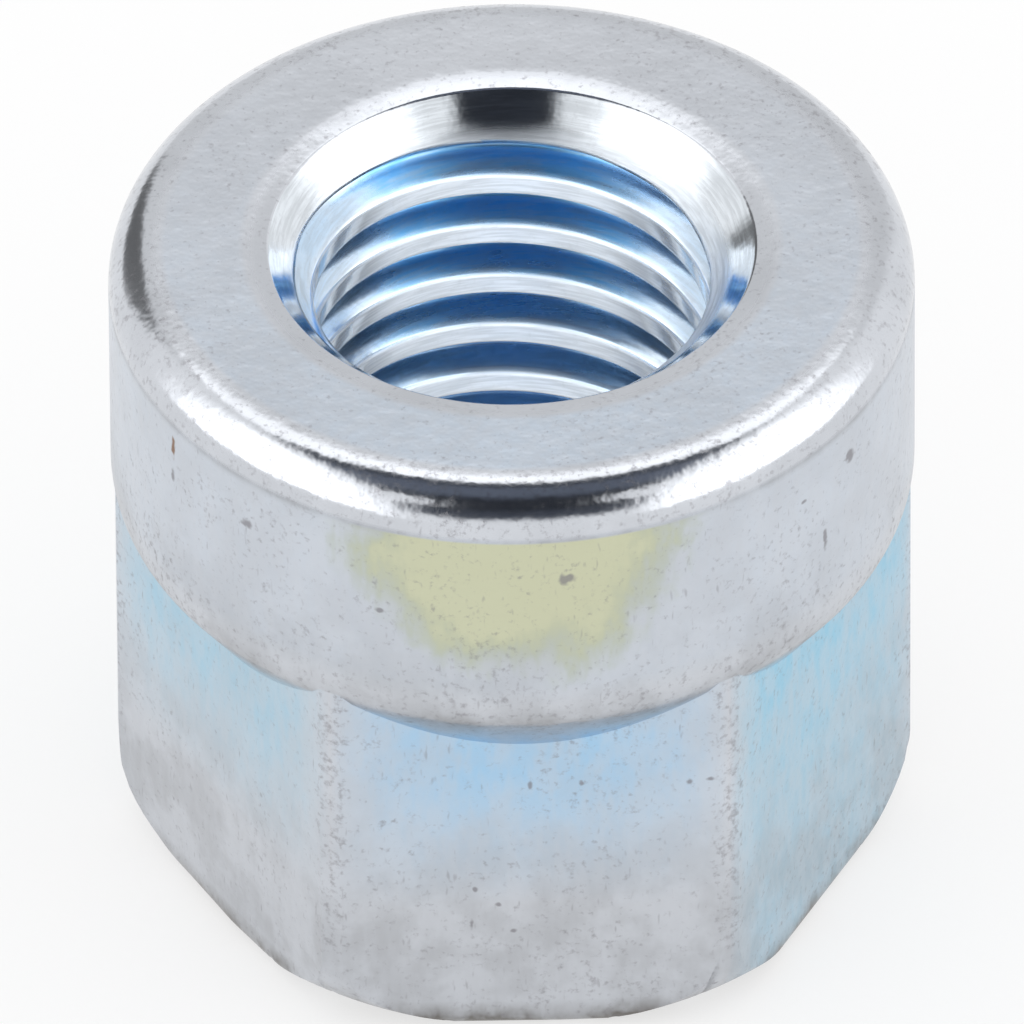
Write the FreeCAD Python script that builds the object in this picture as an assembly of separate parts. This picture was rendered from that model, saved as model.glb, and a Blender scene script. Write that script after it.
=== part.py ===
"""A shaft nut: a round collar on a forged hexagon, bored right through, in one piece.

The nut stands on its hexagon end. The origin is the middle of that end face, +Z runs up
the bore, and one flat of the hexagon faces -Y. Lengths are in millimetres and angles in
degrees.
"""

import FreeCAD
import Part
import math
import os

# Whole nut
total_height = 11.35
across_flats = 10.8

# Bore, as wide as the crests of its M7 x 1 thread
bore_diameter = 6.1

# Collar, with a plain round wall between two rounded edges
collar_diameter = 12.4
collar_wall_height = 3.3
collar_top_radius = 0.78

# Shoulder, the rounding and cone that draw the collar in to the flats
shoulder_radius = 1.0
shoulder_angle = 35.5  # lean of the cone from upright
shoulder_root = 0.4  # how far the cone carries on behind the flats

# Hexagon, its corners left as narrow round lands
land_setback = 0.06  # the lands lie this far inside the collar's wall
foot_corner_radius = 1.43  # rounds the lands down to the end face
foot_corner_turn = 70.4  # degrees that this rounding turns before the end face cuts it off
foot_edge_radius = 0.35  # rounds the flats down to the end face
hexagon_root = 1.2  # how far the hexagon runs up inside the collar

# Countersunk mouths of the bore, each with a shallow ring before its cone
collar_mouth_diameter = 8.2
collar_ring_width = 0.34
hexagon_mouth_diameter = 7.7
hexagon_ring_width = 0.25
ring_slope = 11.0  # fall of the rings towards the bore
ring_edge_radius = 0.1  # rounds each ring into its cone
countersink_angle = 90.0  # between opposite sides of the cone
boring_overrun = 1.0  # how far the boring outline stands out past each end face

# Where the parts meet
collar_radius = collar_diameter / 2
land_radius = collar_radius - land_setback
flat_distance = across_flats / 2
bore_radius = bore_diameter / 2
collar_wall_bottom = total_height - collar_top_radius - collar_wall_height
hexagon_top = collar_wall_bottom + hexagon_root

HEXAGON_SIDES = 6
OUTWARD, UP = 0, 90


def at(radius, height):
    """The point at this radius and height in the half plane that is turned."""
    return FreeCAD.Vector(radius, 0, height)


def on_circle(centre, radius, angle):
    """The point of a circle at an angle, counted from outward towards up."""
    turn = math.radians(angle)
    return centre + at(radius * math.cos(turn), radius * math.sin(turn))


def arc(centre, radius, first_angle, last_angle):
    """Start, middle and end points of an arc in the half plane."""
    angles = (first_angle, (first_angle + last_angle) / 2, last_angle)
    return [on_circle(centre, radius, angle) for angle in angles]


def turned(*outline):
    """The solid that an outline sweeps round the bore's axis.

    The outline leaves the axis and comes back to it. Each entry is a point or an arc, and
    straight edges join one entry to the next.
    """
    edges = []
    end = None
    for entry in outline:
        points = entry if isinstance(entry, list) else [entry]
        if end is not None:
            edges.append(Part.LineSegment(end, points[0]).toShape())
        if len(points) > 1:
            edges.append(Part.Arc(*points).toShape())
        end = points[-1]
    edges.append(Part.LineSegment(end, outline[0]).toShape())
    face = Part.Face(Part.Wire(edges))
    return face.revolve(FreeCAD.Vector(0, 0, 0), FreeCAD.Vector(0, 0, 1), 360)


def collar_blank():
    """The collar with its rounded top edge, down to the foot of its shoulder cone."""
    top_centre = at(collar_radius - collar_top_radius, total_height - collar_top_radius)
    shoulder_centre = at(collar_radius - shoulder_radius, collar_wall_bottom)
    shoulder = arc(shoulder_centre, shoulder_radius, OUTWARD, -shoulder_angle)
    foot_radius = flat_distance - shoulder_root
    cone_height = (shoulder[-1].x - foot_radius) / math.tan(math.radians(shoulder_angle))
    foot = at(foot_radius, shoulder[-1].z - cone_height)
    return turned(
        at(0, foot.z),
        foot,
        shoulder[::-1],
        arc(top_centre, collar_top_radius, OUTWARD, UP),
        at(0, total_height),
    )


def hexagon_bar():
    """Six-sided bar with a flat towards -Y, its edges at the foot rounded."""
    corner_radius = flat_distance / math.cos(math.pi / HEXAGON_SIDES)
    corners = []
    for side in range(HEXAGON_SIDES + 1):
        turn = 2 * math.pi * side / HEXAGON_SIDES
        corners.append(FreeCAD.Vector(corner_radius * math.cos(turn), corner_radius * math.sin(turn), 0))
    bar = Part.Face(Part.makePolygon(corners)).extrude(FreeCAD.Vector(0, 0, hexagon_top))
    foot_edges = [edge for edge in bar.Edges if edge.BoundBox.ZMax < hexagon_top / 2]
    return bar.makeFillet(foot_edge_radius, foot_edges)


def land_blank():
    """The round bar that the hexagon's corners are left on, with its rounded foot."""
    foot_height = foot_corner_radius * math.sin(math.radians(foot_corner_turn))
    foot_centre = at(land_radius - foot_corner_radius, foot_height)
    return turned(
        at(0, 0),
        arc(foot_centre, foot_corner_radius, -foot_corner_turn, OUTWARD),
        at(land_radius, hexagon_top),
        at(0, hexagon_top),
    )


def mouth(diameter, ring_width, face_height, into_nut):
    """The outer edge, the rounded inner edge of the ring and the cone's end of one mouth.

    into_nut is 1 for a mouth that is bored upwards and -1 for one bored downwards.
    """
    half_angle = countersink_angle / 2
    drop = ring_width * math.tan(math.radians(ring_slope))
    corner = at(diameter / 2 - ring_width, face_height + into_nut * drop)
    ring_side = -into_nut * (90 + ring_slope)
    cone_side = -into_nut * (180 - half_angle)
    half_turn = math.radians(90 - half_angle - ring_slope) / 2
    corner_reach = ring_edge_radius / math.cos(half_turn)
    edge_centre = on_circle(corner, -corner_reach, (ring_side + cone_side) / 2)
    ring_edge = arc(edge_centre, ring_edge_radius, ring_side, cone_side)
    cone_height = (ring_edge[-1].x - bore_radius) / math.tan(math.radians(half_angle))
    cone_end = at(bore_radius, ring_edge[-1].z + into_nut * cone_height)
    return at(diameter / 2, face_height), ring_edge, cone_end


def through_bore():
    """What the drill and the two countersinks take out."""
    low_rim, low_edge, low_end = mouth(hexagon_mouth_diameter, hexagon_ring_width, 0, 1)
    high_rim, high_edge, high_end = mouth(
        collar_mouth_diameter, collar_ring_width, total_height, -1
    )
    return turned(
        at(0, -boring_overrun),
        at(low_rim.x, -boring_overrun),
        low_rim,
        low_edge,
        low_end,
        high_end,
        high_edge[::-1],
        high_rim,
        at(high_rim.x, total_height + boring_overrun),
        at(0, total_height + boring_overrun),
    )


def shaft_nut():
    """The finished nut as one solid."""
    hexagon = hexagon_bar().common(land_blank())
    nut = collar_blank().fuse(hexagon).cut(through_bore())
    return nut.removeSplitter()


os.makedirs("parts", exist_ok=True)
nut = shaft_nut()
nut.exportStep("parts/shaft_nut.step")
print(
    "shaft_nut:", len(nut.Solids), "solid,", len(nut.Faces), "faces,",
    "valid" if nut.isValid() else "NOT valid,", round(nut.Volume, 2), "mm3, box", nut.BoundBox,
)
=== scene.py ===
"""A zinc-plated shaft nut: a round collar on a hexagon, with a fine thread right through.

The nut stands on its hexagon end. Lengths are in millimetres, turned into metres where a
mesh or a light is made, and angles are in degrees. +Z runs up the bore, and one flat of
the hexagon faces -Y.
"""

import logging
import math
from dataclasses import dataclass
from enum import Enum

import bmesh
import bpy
import numpy as np
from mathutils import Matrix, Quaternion, Vector


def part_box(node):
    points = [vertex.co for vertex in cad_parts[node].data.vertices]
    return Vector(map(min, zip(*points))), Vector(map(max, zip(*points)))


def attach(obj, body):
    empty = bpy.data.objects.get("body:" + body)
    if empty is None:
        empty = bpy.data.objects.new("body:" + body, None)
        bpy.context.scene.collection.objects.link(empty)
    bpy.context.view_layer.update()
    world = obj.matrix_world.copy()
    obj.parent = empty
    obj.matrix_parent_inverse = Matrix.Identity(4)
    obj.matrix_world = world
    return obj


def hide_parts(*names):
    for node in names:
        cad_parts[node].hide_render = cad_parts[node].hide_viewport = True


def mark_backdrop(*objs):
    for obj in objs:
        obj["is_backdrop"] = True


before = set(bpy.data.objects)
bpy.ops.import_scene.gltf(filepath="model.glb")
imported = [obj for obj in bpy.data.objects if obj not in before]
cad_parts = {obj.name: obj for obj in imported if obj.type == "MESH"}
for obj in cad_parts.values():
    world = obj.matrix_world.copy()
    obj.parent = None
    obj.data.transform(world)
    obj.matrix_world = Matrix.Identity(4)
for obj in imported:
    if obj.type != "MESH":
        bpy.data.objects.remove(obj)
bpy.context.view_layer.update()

MM = 0.001
HEXAGON_SIDES = 6
SECTOR = 360 / HEXAGON_SIDES
COLUMNS_PER_SECTOR = 40
COLUMNS = HEXAGON_SIDES * COLUMNS_PER_SECTOR
LAND_COLUMNS = 2
MERGE_DISTANCE = 0.0002

log = logging.getLogger("shaft_nut")


class Region(Enum):
    """The stretches of the nut's outline, and how their plating has been treated."""

    END_FACE = "end_face"
    FOOT = "foot"
    FLAT = "flat"
    SHOULDER = "shoulder"
    WALL = "wall"
    EDGE = "edge"
    TOP_FACE = "top_face"
    LIP = "lip"


class NodeBench:
    """Adds and links the nodes of one tree, so that a pattern reads as a list of steps."""

    def __init__(self, tree: bpy.types.NodeTree) -> None:
        """Takes the tree that the nodes go into."""
        self.tree = tree

    def put(self, socket: bpy.types.NodeSocket, value) -> None:
        """Links a socket to another one, or gives it a plain value.

        Args:
            socket: the input that is set.
            value: an output socket, or a number, colour, vector or material.
        """
        if isinstance(value, bpy.types.NodeSocket):
            self.tree.links.new(value, socket)
        else:
            socket.default_value = value

    def add(self, kind: str, settings: dict | None = None, **inputs) -> bpy.types.Node:
        """Adds one node.

        Args:
            kind: the node's type name.
            settings: the node's own properties by name.
            inputs: its inputs by name, with spaces written as underscores.

        Returns:
            The new node.
        """
        node = self.tree.nodes.new(kind)
        for name, value in (settings or {}).items():
            setattr(node, name, value)
        for name, value in inputs.items():
            self.put(node.inputs[name.replace("_", " ")], value)
        return node

    def math(self, operation: str, *values, clamp: bool = False) -> bpy.types.NodeSocket:
        """One sum on numbers.

        Args:
            operation: the Math node's operation.
            values: its operands, numbers or sockets.
            clamp: whether the result is kept between 0 and 1.

        Returns:
            The result's socket.
        """
        node = self.add("ShaderNodeMath", {"operation": operation, "use_clamp": clamp})
        for socket, value in zip(node.inputs, values):
            self.put(socket, value)
        return node.outputs[0]

    def ramp(
        self, value, start: float, end: float, low: float = 0.0, high: float = 1.0,
    ) -> bpy.types.NodeSocket:
        """A smooth step from low to high as value goes from start to end.

        Args:
            value: the number or socket that is read.
            start: where the step begins.
            end: where the step ends, which may lie below start.
            low: what it gives before start.
            high: what it gives past end.

        Returns:
            The result's socket.
        """
        settings = {"interpolation_type": "SMOOTHSTEP", "clamp": True}
        plain = not isinstance(start, bpy.types.NodeSocket)
        if plain and start > end:
            start, end, low, high = end, start, high, low
        node = self.add(
            "ShaderNodeMapRange", settings,
            Value=value, From_Min=start, From_Max=end, To_Min=low, To_Max=high,
        )
        return node.outputs[0]

    def blend(self, amount, first, second, mode: str = "MIX") -> bpy.types.NodeSocket:
        """A mix of two colours.

        Args:
            amount: how much of the second colour shows, from 0 to 1.
            first: the colour at 0.
            second: the colour at 1.
            mode: the mix node's blend type.

        Returns:
            The colour's socket.
        """
        node = self.add("ShaderNodeMix", {"data_type": "RGBA", "blend_type": mode})
        self.put(node.inputs[0], amount)
        self.put(node.inputs[6], first)
        self.put(node.inputs[7], second)
        return node.outputs[2]

    def group(self, tree: bpy.types.NodeTree, **inputs) -> bpy.types.bpy_prop_collection:
        """Places a shader group and gives back its outputs."""
        node = self.add("ShaderNodeGroup", {"node_tree": tree})
        for name, value in inputs.items():
            self.put(node.inputs[name], value)
        return node.outputs

    def attribute(self, name: str) -> bpy.types.NodeSocket:
        """The number that the mesh holds under a name."""
        return self.add("ShaderNodeAttribute", {"attribute_name": name}).outputs["Fac"]

    def noise(self, place, scale: float, detail: float) -> bpy.types.NodeSocket:
        """A cloud pattern from 0 to 1, with so many patches to the millimetre."""
        node = self.add("ShaderNodeTexNoise", Vector=place, Scale=scale, Detail=detail, Roughness=0.6)
        return node.outputs["Fac"]

    def distance(self, place, centre: tuple, reach: tuple) -> bpy.types.NodeSocket:
        """How far a place lies from a centre, as a share of the reach along each axis.

        Args:
            place: the socket of the place.
            centre: the centre.
            reach: the distance that counts as 1 along each axis.

        Returns:
            The result's socket.
        """
        off = self.add("ShaderNodeVectorMath", {"operation": "SUBTRACT"})
        self.put(off.inputs[0], place)
        self.put(off.inputs[1], centre)
        scaled = self.add("ShaderNodeVectorMath", {"operation": "DIVIDE"})
        self.put(scaled.inputs[0], off.outputs[0])
        self.put(scaled.inputs[1], reach)
        length = self.add("ShaderNodeVectorMath", {"operation": "LENGTH"})
        self.put(length.inputs[0], scaled.outputs[0])
        return length.outputs["Value"]

    @staticmethod
    def shade(colour: tuple, amount: float) -> tuple[float, float, float, float]:
        """A colour made darker by a factor."""
        red, green, blue, alpha = colour
        return red * amount, green * amount, blue * amount, alpha


def new_sockets(tree: bpy.types.NodeTree, inputs: dict, outputs: dict) -> None:
    """Gives a tree its named sockets.

    Args:
        tree: the tree.
        inputs: each input's name, with its socket type and default value or None.
        outputs: each output's name, with its socket type.
    """
    for name, (kind, default) in inputs.items():
        socket = tree.interface.new_socket(name=name, in_out="INPUT", socket_type=kind)
        if default is not None:
            socket.default_value = default
    for name, kind in outputs.items():
        tree.interface.new_socket(name=name, in_out="OUTPUT", socket_type=kind)


@dataclass(frozen=True)
class NutSizes:
    """The sizes of the finished nut."""

    total_height: float = 11.35
    across_flats: float = 10.8
    collar_wall_height: float = 3.3
    collar_top_radius: float = 0.78
    shoulder_radius: float = 1.0
    shoulder_angle: float = 35.5
    land_setback: float = 0.06
    foot_corner_radius: float = 1.43
    foot_corner_turn: float = 70.4
    foot_edge_radius: float = 0.35
    bore_diameter: float = 6.1
    thread_diameter: float = 7.0
    thread_pitch: float = 1.0
    thread_crest_flat: float = 0.354
    first_crest_height: float = 9.93
    first_crest_azimuth: float = 87.7
    collar_mouth_diameter: float = 8.2
    collar_ring_width: float = 0.34
    hexagon_mouth_diameter: float = 7.7
    hexagon_ring_width: float = 0.25
    ring_slope: float = 11.0
    ring_edge_radius: float = 0.1
    cone_slope: float = 45.0

    @property
    def collar_radius(self) -> float:
        """Half the collar's width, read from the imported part."""
        low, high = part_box("shaft_nut")
        return min(-low.x, high.x, -low.y, high.y) / MM

    @property
    def land_radius(self) -> float:
        """Half the width over the hexagon's rounded corners."""
        return self.collar_radius - self.land_setback

    @property
    def flat_distance(self) -> float:
        """How far each flat lies from the bore's axis."""
        return self.across_flats / 2

    @property
    def wall_bottom(self) -> float:
        """The height at which the collar's plain wall ends and its shoulder begins."""
        return self.total_height - self.collar_top_radius - self.collar_wall_height

    @property
    def land_angle(self) -> float:
        """The angle from the middle of a flat to its edge at a land."""
        return math.degrees(math.acos(self.flat_distance / self.land_radius))

    @property
    def foot_height(self) -> float:
        """The height at which the lands' rounded foot meets their straight stretch."""
        return self.foot_corner_radius * math.sin(math.radians(self.foot_corner_turn))

    def lip(self, mouth_diameter: float, ring_width: float) -> list[tuple[float, float]]:
        """The shallow ring of a mouth and the rounding that leads into its cone.

        Args:
            mouth_diameter: the mouth's width on the end face.
            ring_width: the width of the shallow ring.

        Returns:
            Radii and depths below the end face, from the face inwards.
        """
        slope, cone = math.radians(self.ring_slope), math.radians(self.cone_slope)
        corner_radius = mouth_diameter / 2 - ring_width
        corner_depth = ring_width * math.tan(slope)
        middle = (slope + cone) / 2
        reach = self.ring_edge_radius / math.cos((cone - slope) / 2)
        centre_radius = corner_radius + reach * math.sin(middle)
        centre_depth = corner_depth + reach * math.cos(middle)
        rounding = [
            (centre_radius - self.ring_edge_radius * math.sin(lean),
             centre_depth - self.ring_edge_radius * math.cos(lean))
            for lean in np.linspace(slope, cone, 6)
        ]
        start = (mouth_diameter / 2, 0.0)
        ring = [
            (start[0] + (rounding[0][0] - start[0]) * share, rounding[0][1] * share)
            for share in (0.0, 0.12, 0.5, 0.88)
        ]
        return ring + rounding

    @property
    def collar_lip(self) -> list[tuple[float, float]]:
        """Radii and depths of the lip in the collar."""
        return self.lip(self.collar_mouth_diameter, self.collar_ring_width)

    @property
    def hexagon_lip(self) -> list[tuple[float, float]]:
        """Radii and depths of the lip in the hexagon end."""
        return self.lip(self.hexagon_mouth_diameter, self.hexagon_ring_width)


@dataclass
class Row:
    """One ring of points on the nut's outline.

    Radius, height and angle hold a number for each column.
    """

    radius: np.ndarray
    height: np.ndarray
    angle: np.ndarray
    region: Region


class NutOutline:
    """The rings of points that the nut's outside is made of, from mouth to mouth."""

    WORN_ANGLES = (168, 180, 190, 200, 212, 222, 230, 238, 250, 262, 275)
    WORN_DEPTHS = (0, 0.07, 0.13, 0.10, 0.05, 0.09, 0.14, 0.12, 0.08, 0.04, 0)
    WORN_HEIGHT = 1.8

    def __init__(self, sizes: NutSizes) -> None:
        """Sets out the columns, which meet the edges of the flats exactly."""
        self.sizes = sizes
        even = np.arange(COLUMNS) * 360 / COLUMNS
        self.even_angles = even
        flat_columns = COLUMNS_PER_SECTOR - 2 * LAND_COLUMNS
        land_half = SECTOR / 2 - sizes.land_angle
        steps = [land_half * n / LAND_COLUMNS for n in range(LAND_COLUMNS)]
        steps += [
            land_half + 2 * sizes.land_angle * n / flat_columns for n in range(flat_columns + 1)
        ]
        steps += [SECTOR - land_half * n / LAND_COLUMNS for n in range(LAND_COLUMNS - 1, 0, -1)]
        sector = np.array(steps)
        self.angles = np.concatenate([sector + SECTOR * n for n in range(HEXAGON_SIDES)])
        self.off_flat = np.abs((self.angles % SECTOR) - SECTOR / 2)
        self.on_land = self.off_flat >= sizes.land_angle - 0.001
        self.rows: list[Row] = []

    def ring(self, radius, height, region: Region, even: bool = False) -> None:
        """Adds one ring.

        Args:
            radius: the ring's radius, one number or one for each column.
            height: its height, in the same form.
            region: the stretch of the outline that it lies on.
            even: whether its columns are evenly spaced, as the bore's are.
        """
        angles = self.even_angles if even else self.angles
        self.rows.append(Row(
            np.broadcast_to(np.asarray(radius, float), COLUMNS),
            np.broadcast_to(np.asarray(height, float), COLUMNS),
            angles, region,
        ))

    def hexagon_mouth(self) -> None:
        """The lip of the mouth in the hexagon end, and the end face round it."""
        s = self.sizes
        for radius, depth in reversed(s.hexagon_lip):
            self.ring(radius, depth, Region.LIP, even=True)
        mouth = s.hexagon_mouth_diameter / 2
        edge = self.foot_radius(np.zeros(COLUMNS))
        for share in (0.08, 0.35, 0.7, 1.0):
            self.ring(mouth + (edge - mouth) * share, 0, Region.END_FACE)

    def foot_crossing(self) -> np.ndarray:
        """The height at which each column leaves the foot's round for the flat or land."""
        s = self.sizes
        heights = np.linspace(0, s.foot_height, 4001)
        rounds = self.corner_round(heights)
        flats = self.flat_round(heights)
        crossing = np.full(COLUMNS, s.foot_height)
        for column in np.flatnonzero(~self.on_land):
            inside = flats / math.cos(math.radians(self.off_flat[column])) <= rounds
            crossing[column] = heights[np.argmax(inside)]
        return crossing

    def foot_radius(self, height: np.ndarray) -> np.ndarray:
        """The radius of the foot at a height given for each column."""
        flats = self.flat_round(height) / np.cos(np.radians(self.off_flat))
        rounds = self.corner_round(height)
        return np.where(self.on_land, rounds, np.minimum(rounds, flats))

    def corner_round(self, height: np.ndarray) -> np.ndarray:
        """The radius of the round bar at each height of its rounded foot."""
        s = self.sizes
        left = np.clip(s.foot_height - height, 0, None)
        reach = np.sqrt(s.foot_corner_radius ** 2 - left ** 2)
        return s.land_radius - s.foot_corner_radius + reach

    def flat_round(self, height: np.ndarray) -> np.ndarray:
        """The distance of the flats from the axis at each height of their rounded foot."""
        s = self.sizes
        left = np.clip(s.foot_edge_radius - height, 0, None)
        reach = np.sqrt(s.foot_edge_radius ** 2 - left ** 2)
        return s.flat_distance - s.foot_edge_radius + reach

    def foot(self) -> None:
        """The rounded foot, first on the corners' round and then on the flats' own."""
        s = self.sizes
        crossing = self.foot_crossing()
        for share in np.linspace(0, 1, 9)[1:]:
            height = crossing * share
            self.ring(self.foot_radius(height), height, Region.FOOT)
        top = np.maximum(crossing, s.foot_edge_radius)
        for share in np.linspace(0, 1, 7)[1:]:
            height = crossing + (top - crossing) * (1 - math.cos(math.pi / 2 * share))
            radius = self.flat_round(height) / np.cos(np.radians(self.off_flat))
            self.ring(np.where(self.on_land, s.land_radius, radius), height, Region.FOOT)
        self.foot_top = top

    def wear(self, row: Row) -> np.ndarray:
        """How much the left front corner of the foot is worn away along one ring."""
        if row.region not in (Region.FOOT, Region.FLAT, Region.END_FACE):
            return np.zeros(COLUMNS)
        depth = np.interp(row.angle, self.WORN_ANGLES, self.WORN_DEPTHS)
        fade = np.clip(1 - row.height / self.WORN_HEIGHT, 0, 1)
        return depth * fade * np.clip(row.radius - 4.0, 0, 1)

    def shoulder_points(self, radius: np.ndarray) -> np.ndarray:
        """How far round the shoulder, in degrees or down its cone, a radius lies.

        Args:
            radius: the radius at each column.

        Returns:
            The turn on the rounding up to the shoulder's angle, and past it the length
            down the cone, added to that angle.
        """
        s = self.sizes
        centre = s.collar_radius - s.shoulder_radius
        lean = math.radians(s.shoulder_angle)
        cone_start = centre + s.shoulder_radius * math.cos(lean)
        turn = np.degrees(np.arccos(np.clip((radius - centre) / s.shoulder_radius, -1, 1)))
        down = (cone_start - radius) / math.sin(lean)
        return np.where(radius >= cone_start, turn, s.shoulder_angle + down)

    def shoulder_at(self, place: np.ndarray) -> tuple[np.ndarray, np.ndarray]:
        """The radius and height at a place that shoulder_points gives."""
        s = self.sizes
        turn = np.radians(np.minimum(place, s.shoulder_angle))
        down = np.maximum(place - s.shoulder_angle, 0)
        lean = math.radians(s.shoulder_angle)
        radius = s.collar_radius - s.shoulder_radius + s.shoulder_radius * np.cos(turn)
        height = s.wall_bottom - s.shoulder_radius * np.sin(turn)
        return radius - down * math.sin(lean), height - down * math.cos(lean)

    def hexagon(self) -> None:
        """The flats and lands, up to the line where the shoulder cuts them off."""
        s = self.sizes
        flats = s.flat_distance / np.cos(np.radians(self.off_flat))
        radius = np.where(self.on_land, s.land_radius, flats)
        self.shoulder_end = self.shoulder_points(radius)
        top = self.shoulder_at(self.shoulder_end)[1]
        for share in np.linspace(0, 1, 23)[1:]:
            self.ring(radius, self.foot_top + (top - self.foot_top) * share, Region.FLAT)

    def shoulder(self) -> None:
        """The cone and the rounding under the collar's wall."""
        for share in np.linspace(1, 0, 11)[1:]:
            radius, height = self.shoulder_at(self.shoulder_end * share)
            self.ring(radius, height, Region.SHOULDER)

    def collar(self) -> None:
        """The collar's wall, its rounded top edge and the flat ring on top."""
        s = self.sizes
        for share in (*np.linspace(0, 0.96, 9)[1:], 0.98, 1.0):
            self.ring(s.collar_radius, s.wall_bottom + s.collar_wall_height * share, Region.WALL)
        centre = s.collar_radius - s.collar_top_radius
        foot = s.total_height - s.collar_top_radius
        for turn in np.radians(np.linspace(0, 90, 15)[1:]):
            self.ring(
                centre + s.collar_top_radius * math.cos(turn),
                foot + s.collar_top_radius * math.sin(turn), Region.EDGE,
            )
        lip_start = s.collar_mouth_diameter / 2
        for share in (0.08, 0.35, 0.65, 0.92):
            self.ring(centre + (lip_start - centre) * share, s.total_height, Region.TOP_FACE)

    def collar_mouth(self) -> None:
        """The lip of the mouth in the collar."""
        s = self.sizes
        for radius, depth in s.collar_lip:
            self.ring(radius, s.total_height - depth, Region.LIP, even=True)

    def build(self) -> list[Row]:
        """All the rings, from the hexagon end's countersink round to the collar's.

        Returns:
            The rings in order.
        """
        self.hexagon_mouth()
        self.foot()
        self.hexagon()
        self.shoulder()
        self.collar()
        self.collar_mouth()
        for row in self.rows:
            row.radius = row.radius - self.wear(row)
        return self.rows


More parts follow.
